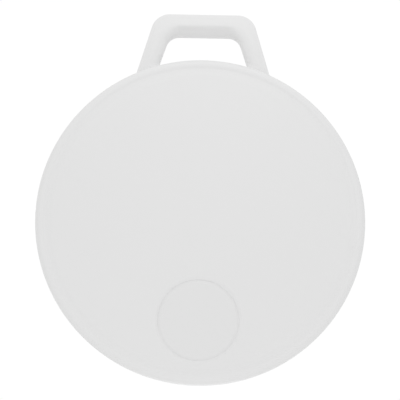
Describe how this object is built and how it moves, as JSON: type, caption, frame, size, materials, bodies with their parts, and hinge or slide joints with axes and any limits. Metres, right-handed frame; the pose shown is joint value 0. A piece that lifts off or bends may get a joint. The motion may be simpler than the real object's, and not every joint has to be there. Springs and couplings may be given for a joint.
{
  "type": "bluetooth tracker tag",
  "caption": "Round flat bluetooth tracker tag with a splayed key loop, a round push button low on its front and a round battery door on its back.",
  "frame": {"origin": "centre of the disc, on its flat back face", "axes": "+Z towards the key loop, -Y out of the front with the button, +X to the right seen from the front"},
  "size_m": [0.038, 0.008, 0.0438],
  "materials": {
    "shell": "fine matt moulded, white",
    "button": "fine matt moulded, white",
    "black_moulding": "moulded, black",
    "board": "solder mask over glass epoxy",
    "chip": "moulded epoxy",
    "capacitor": "fired ceramic with tinned ends",
    "antenna": "fired white ceramic",
    "steel": "drawn stainless steel",
    "spring": "gold-plated spring steel",
    "brass": "rolled brass",
    "piezo": "silvered ceramic",
    "seal": "grey silicone",
    "foam": "black foam",
    "adhesive": "clear-to-amber tape",
    "cathode": "pressed powder",
    "lithium": "soft metal foil"
  },
  "bodies": {
    "housing": {"main_housing": "shell", "front_cover": "shell", "cover_adhesive": "adhesive", "door_seal": "seal", "cell_can": "steel", "cell_gasket": "black_moulding", "cell_cap": "steel", "cell_cathode": "cathode", "cell_separator": "adhesive", "cell_anode": "lithium", "positive_contact_1": "spring", "positive_contact_2": "spring", "negative_contact": "spring", "circuit_board": "board", "bluetooth_chip": "chip", "main_crystal": "steel", "sleep_crystal": "steel", "chip_antenna": "antenna", "boost_inductor": "chip", "driver_transistor": "chip", "capacitor_1": "capacitor", "capacitor_2": "capacitor", "capacitor_3": "capacitor", "capacitor_4": "capacitor", "resistor_1": "chip", "resistor_2": "chip", "switch_base": "black_moulding", "switch_frame": "steel", "switch_dome": "steel", "buzzer_adhesive": "adhesive", "buzzer_plate": "brass", "buzzer_ceramic": "piezo", "buzzer_spring_1": "spring", "buzzer_spring_2": "spring", "board_screw_1": "steel", "board_screw_2": "steel", "board_screw_3": "steel"},
    "button": {"button_cap": "button"},
    "switch_plunger": {"switch_stem": "black_moulding"},
    "door": {"battery_door": "shell", "cell_foam_pad": "foam"}
  },
  "joints": [
    {"name": "button_press", "type": "slide", "parent": "housing", "child": "button", "axis": [0, 1, 0], "range_m": [0, 0.0003], "stiffness_N_per_m": 3000},
    {"name": "switch_plunger_press", "type": "slide", "parent": "housing", "child": "switch_plunger", "axis": [0, 1, 0], "range_m": [0, 0.0003]},
    {"name": "battery_door_lift", "type": "slide", "parent": "housing", "child": "door", "axis": [0, 1, 0], "range_m": [0, 0.012]}
  ],
  "couplings": [
    {"joint": "switch_plunger_press", "follows": "button_press", "ratio": 1}
  ]
}
